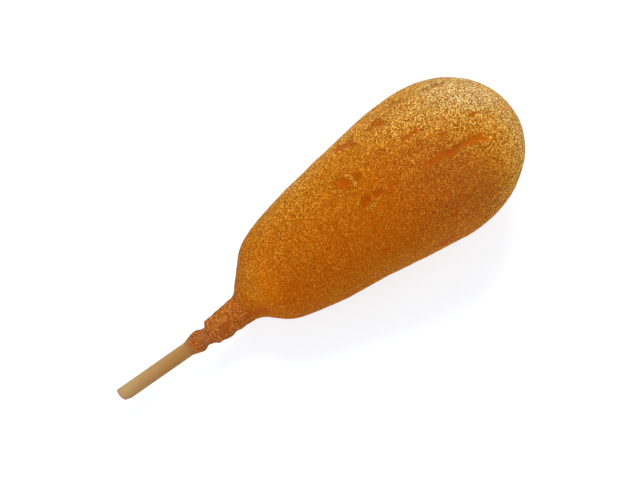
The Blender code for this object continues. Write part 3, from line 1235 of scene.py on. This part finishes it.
# The marks of the shown side, as the values that a Mark of each kind takes.
STROKES = {
    Spot.SCAR: (
        (((125.6, 2), (130.2, 0.5)), (1.2, 2.0), 0.16),
        (((129.6, 1), (134.2, -1)), (2.3, 3.1), 0.32),
        (((134.2, -1), (138.4, -2)), (2.6, 1.6), 0.26),
        (((138.2, -1.5), (144.8, -5)), (2.0, 3.6), 0.32),
        (((143.6, -4), (146.0, -11)), (2.2, 1.6), 0.10),
    ),
    Spot.CREASE: (
        (((126.5, 62.5), (130.3, 60), (134.0, 57)), (1.7, 1.6), 0.26),
        (((135.0, 60), (139.0, 58.5), (143.5, 61)), (1.3, 1.9), 0.26),
        (((150.3, 42), (151.2, 22), (151.0, 6)), (0.8, 0.7), 0.10),
        (((148.2, 38), (149.0, 24)), (0.7, 0.6), 0.08),
    ),
    Spot.SMEAR: (
        (((139.0, 60), (145.0, 63)), (2.4, 2.6), 0.04),
        (((116.1, 8), (113.3, -1)), (1.9, 2.4), 0.08),
        (((119.3, 30), (117.8, 22)), (1.6, 1.9), 0.10),
        (((121.8, 18), (129.5, 15)), (3.0, 3.8), 0.06),
        (((122.2, 47), (120.4, 38)), (1.7, 1.7), 0.10),
        (((151.5, 11),), (2.0, 2.0), 0.06),
        (((67.1, -27), (71.1, -22)), (4.4, 5.4), 0.06),
    ),
    Spot.DIMPLE: (
        (((120.8, 55), (122.4, 51)), (4.2, 4.4), 0.34),
        (((118.6, 53), (119.4, 51)), (2.4, 2.6), 0.20),
        (((107.9, 24.5),), (2.8, 2.8), 0.30),
        (((109.3, 5.5), (110.3, 5.5)), (2.0, 2.2), 0.28),
        (((104.8, 4.5), (106.6, 6)), (2.6, 2.4), 0.32),
        (((107.2, 62), (111.2, 56)), (3.4, 3.6), 0.12),
    ),
    Spot.CRATER: (
        (((102.3, 29.5), (103.3, 26)), (4.9, 4.7), 0.50),
    ),
    Spot.BEAD: (
        (((105.1, 32), (106.1, 27), (106.0, 20)), (1.0, 0.9), -0.22),
        (((104.7, 0.6), (107.9, 0.2)), (0.7, 0.6), -0.14),
        (((108.4, 1.8), (110.2, 2.0)), (0.6, 0.6), -0.10),
        (((73.2, 17),), (1.4, 1.4), -0.24),
        (((124.5, 31),), (1.2, 1.2), -0.12),
    ),
    Spot.PATCH: (
        (((126.2, 25.5), (130.8, 26)), (1.2, 1.5), 0.10),
        (((136.0, 13),), (1.9, 1.9), 0.10),
        (((140.9, 27),), (1.7, 1.7), 0.08),
        (((146.0, 16), (148.7, 14)), (1.0, 1.3), 0.08),
        (((148.3, 25),), (1.4, 1.4), 0.08),
        (((114.6, -66), (119.4, -64)), (2.6, 3.2), 0.04),
        (((51.4, -36), (55.1, -40), (57.8, -36)), (2.6, 2.4), 0.06),
        (((41.8, -16), (44.0, -14)), (2.4, 2.4), 0.05),
    ),
    Spot.PIT: (
        (((92.4, 33), (93.7, 31)), (1.1, 1.0), 0.10),
        (((100.9, -36), (102.2, -37)), (1.2, 1.3), 0.14),
        (((124.7, -41), (126.0, -40)), (1.1, 1.0), 0.10),
    ),
    Spot.CRUMB: (
        (((91.8, 36), (93.6, 39), (95.6, 37), (96.0, 33)), (0.7, 0.7), -0.14),
        (((92.1, -23), (92.9, -21), (93.8, -24)), (0.9, 0.9), -0.18),
        (((31.9, -88), (32.9, -88)), (1.6, 1.2), -0.22),
        (((40.9, -88), (42.3, -86)), (2.4, 2.0), -0.30),
        (((37.4, -92),), (1.2, 1.2), -0.22),
        (((46.1, -86),), (1.6, 1.6), -0.16),
    ),
    # Raised rims along the scar's right edge and a wide patch on the nose's bright side, whose paleness
    # is painted highlight.
    Spot.RIDGE_HIGHLIGHT: (
        (((130.0, -3.0), (133.5, -4.5)), (1.4, 1.2), -0.10),
        (((136.0, -5.5), (141.5, -7.5)), (1.2, 1.6), -0.14),
        (((144.5, -12), (147.5, -9)), (1.4, 1.0), -0.10),
        (((147.5, 36), (152.0, 42)), (4.0, 5.0), -0.05),
    ),
}
SHOWN_MARKS = tuple(Mark(spot, *stroke) for spot, strokes in STROKES.items() for stroke in strokes)


def scattered_marks(seed: int, count: int) -> tuple[Mark, ...]:
    """Hollows of small bubbles on the underside.

    Args:
        seed: Where the random draws start.
        count: How many hollows there are.

    Returns:
        The marks, none of them on the upper half.
    """
    draw = random.Random(seed)
    kinds = (Spot.DIMPLE, Spot.DIMPLE, Spot.SMEAR, Spot.PATCH, Spot.CRATER)
    made = []
    for _ in range(count):
        station, turn = draw.uniform(66, 150), draw.uniform(98, 262)
        length, width = draw.uniform(0.0, 3.2), draw.uniform(0.9, 2.6)
        spot = draw.choice(kinds)
        path = ((station, turn), (station + length, turn + draw.uniform(-4, 4)))
        made.append(Mark(spot, path, (width, width * draw.uniform(0.7, 1.1)), 0.06 * width + 0.05))
    return tuple(made)


def lay_down(coat: Coat, batter: Object, dowel: Object) -> None:
    """Pitches both pieces onto the food's flank and puts the stick where the frame's stick lies.

    Args:
        coat: The coat, which knows how far the food leans.
        batter: The coat's object, still along its own axis.
        dowel: The stick's object, still along its own axis.
    """
    lying = Matrix.Rotation(-coat.pitch(), 4, "Y")
    for piece in (batter, dowel):
        piece.data.transform(lying)
    wood = rows_of(dowel.data.vertices, "co")
    low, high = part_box("stick")
    shift = (low + high) / 2 - Vector((wood.min(0) + wood.max(0)) / 2)
    for piece in (batter, dowel):
        piece.data.transform(Matrix.Translation(shift))
        piece.data.update()
    coat.press_flat(batter)


# ---------------- the studio


@dataclass(frozen=True)
class Lamp:
    """A soft round light: which way it hangs from the food, its watts and its width in metres."""

    name: str
    towards: tuple[float, float, float]
    power: float
    size: float


@dataclass
class Studio:
    """A pale table, soft lights and a camera that looks straight down."""

    camera_height: float = 450 * MM
    camera_over: tuple[float, float] = (5.05 * MM, 1.53 * MM)
    camera_roll: float = math.radians(-36.36)
    lens_mm: float = 75.23
    sensor_mm: float = 36.0
    table_size: float = 6.0
    table_drop: float = 0.05 * MM
    lamps: tuple[Lamp, ...] = (
        Lamp("key", towards=(0.34, 0.58, 0.72), power=6.0, size=0.45),
        Lamp("fill", towards=(-0.80, -0.42, 0.55), power=2.9, size=0.9),
    )
    light_distance: float = 0.9
    sky: float = 0.65

    def lay_table(self, paper: Material) -> None:
        """Makes the table, a little below the food.

        Args:
            paper: The table's material.
        """
        half, low = self.table_size / 2, -self.table_drop
        corners = [(-half, -half, low), (half, -half, low), (half, half, low), (-half, half, low)]
        mesh = bpy.data.meshes.new("table")
        mesh.from_pydata(corners, [], [(0, 1, 2, 3)])
        mesh.materials.append(paper)
        table = new_object("table", mesh)

    def light(self) -> None:
        """Hangs the lights, which shine on the food, and sets the even sky."""
        for lamp in self.lamps:
            data = bpy.data.lights.new(lamp.name, "AREA")
            data.shape, data.size, data.energy = "DISK", lamp.size, lamp.power
            direction = Vector(lamp.towards).normalized()
            holder = new_object(lamp.name, data)
            holder.location = direction * self.light_distance
            holder.rotation_euler = direction.to_track_quat("Z", "Y").to_euler()
        world = bpy.data.worlds.new("studio")
        world.use_nodes = True
        background = world.node_tree.nodes["Background"].inputs
        background["Color"].default_value = WHITE
        background["Strength"].default_value = self.sky
        bpy.context.scene.world = world
        bpy.context.scene.view_settings.view_transform = "Standard"

    def place_camera(self) -> None:
        """Puts the camera over the food, turned so that the nose is at the upper right."""
        data = bpy.data.cameras.new("camera")
        data.sensor_width, data.lens = self.sensor_mm, self.lens_mm
        camera = new_object("camera", data)
        camera.location = (*self.camera_over, self.camera_height)
        camera.rotation_euler = (0.0, 0.0, self.camera_roll)
        bpy.context.scene.camera = camera


def main() -> None:
    """Builds the corn dog, dresses it and lights it."""
    logging.basicConfig(level=logging.INFO, format="%(name)s %(message)s")
    effects = Effects()
    stick = Dowel()
    coat = Coat(dowel=stick, marks=SHOWN_MARKS + scattered_marks(seed=11, count=70))
    batter, dowel = coat.build(), stick.build()
    lay_down(coat, batter, dowel)
    coat.dress(batter, CrustFinish().make(effects))
    stick.dress(dowel, WoodFinish().make(effects))
    for piece in (batter, dowel):
        mesh = piece.data
        LOG.info("%s: %d vertices, %d faces", piece.name, len(mesh.vertices), len(mesh.polygons))
    studio = Studio()
    studio.lay_table(PaperFinish().make(effects))
    studio.light()
    studio.place_camera()


if __name__ == "__main__":
    main()
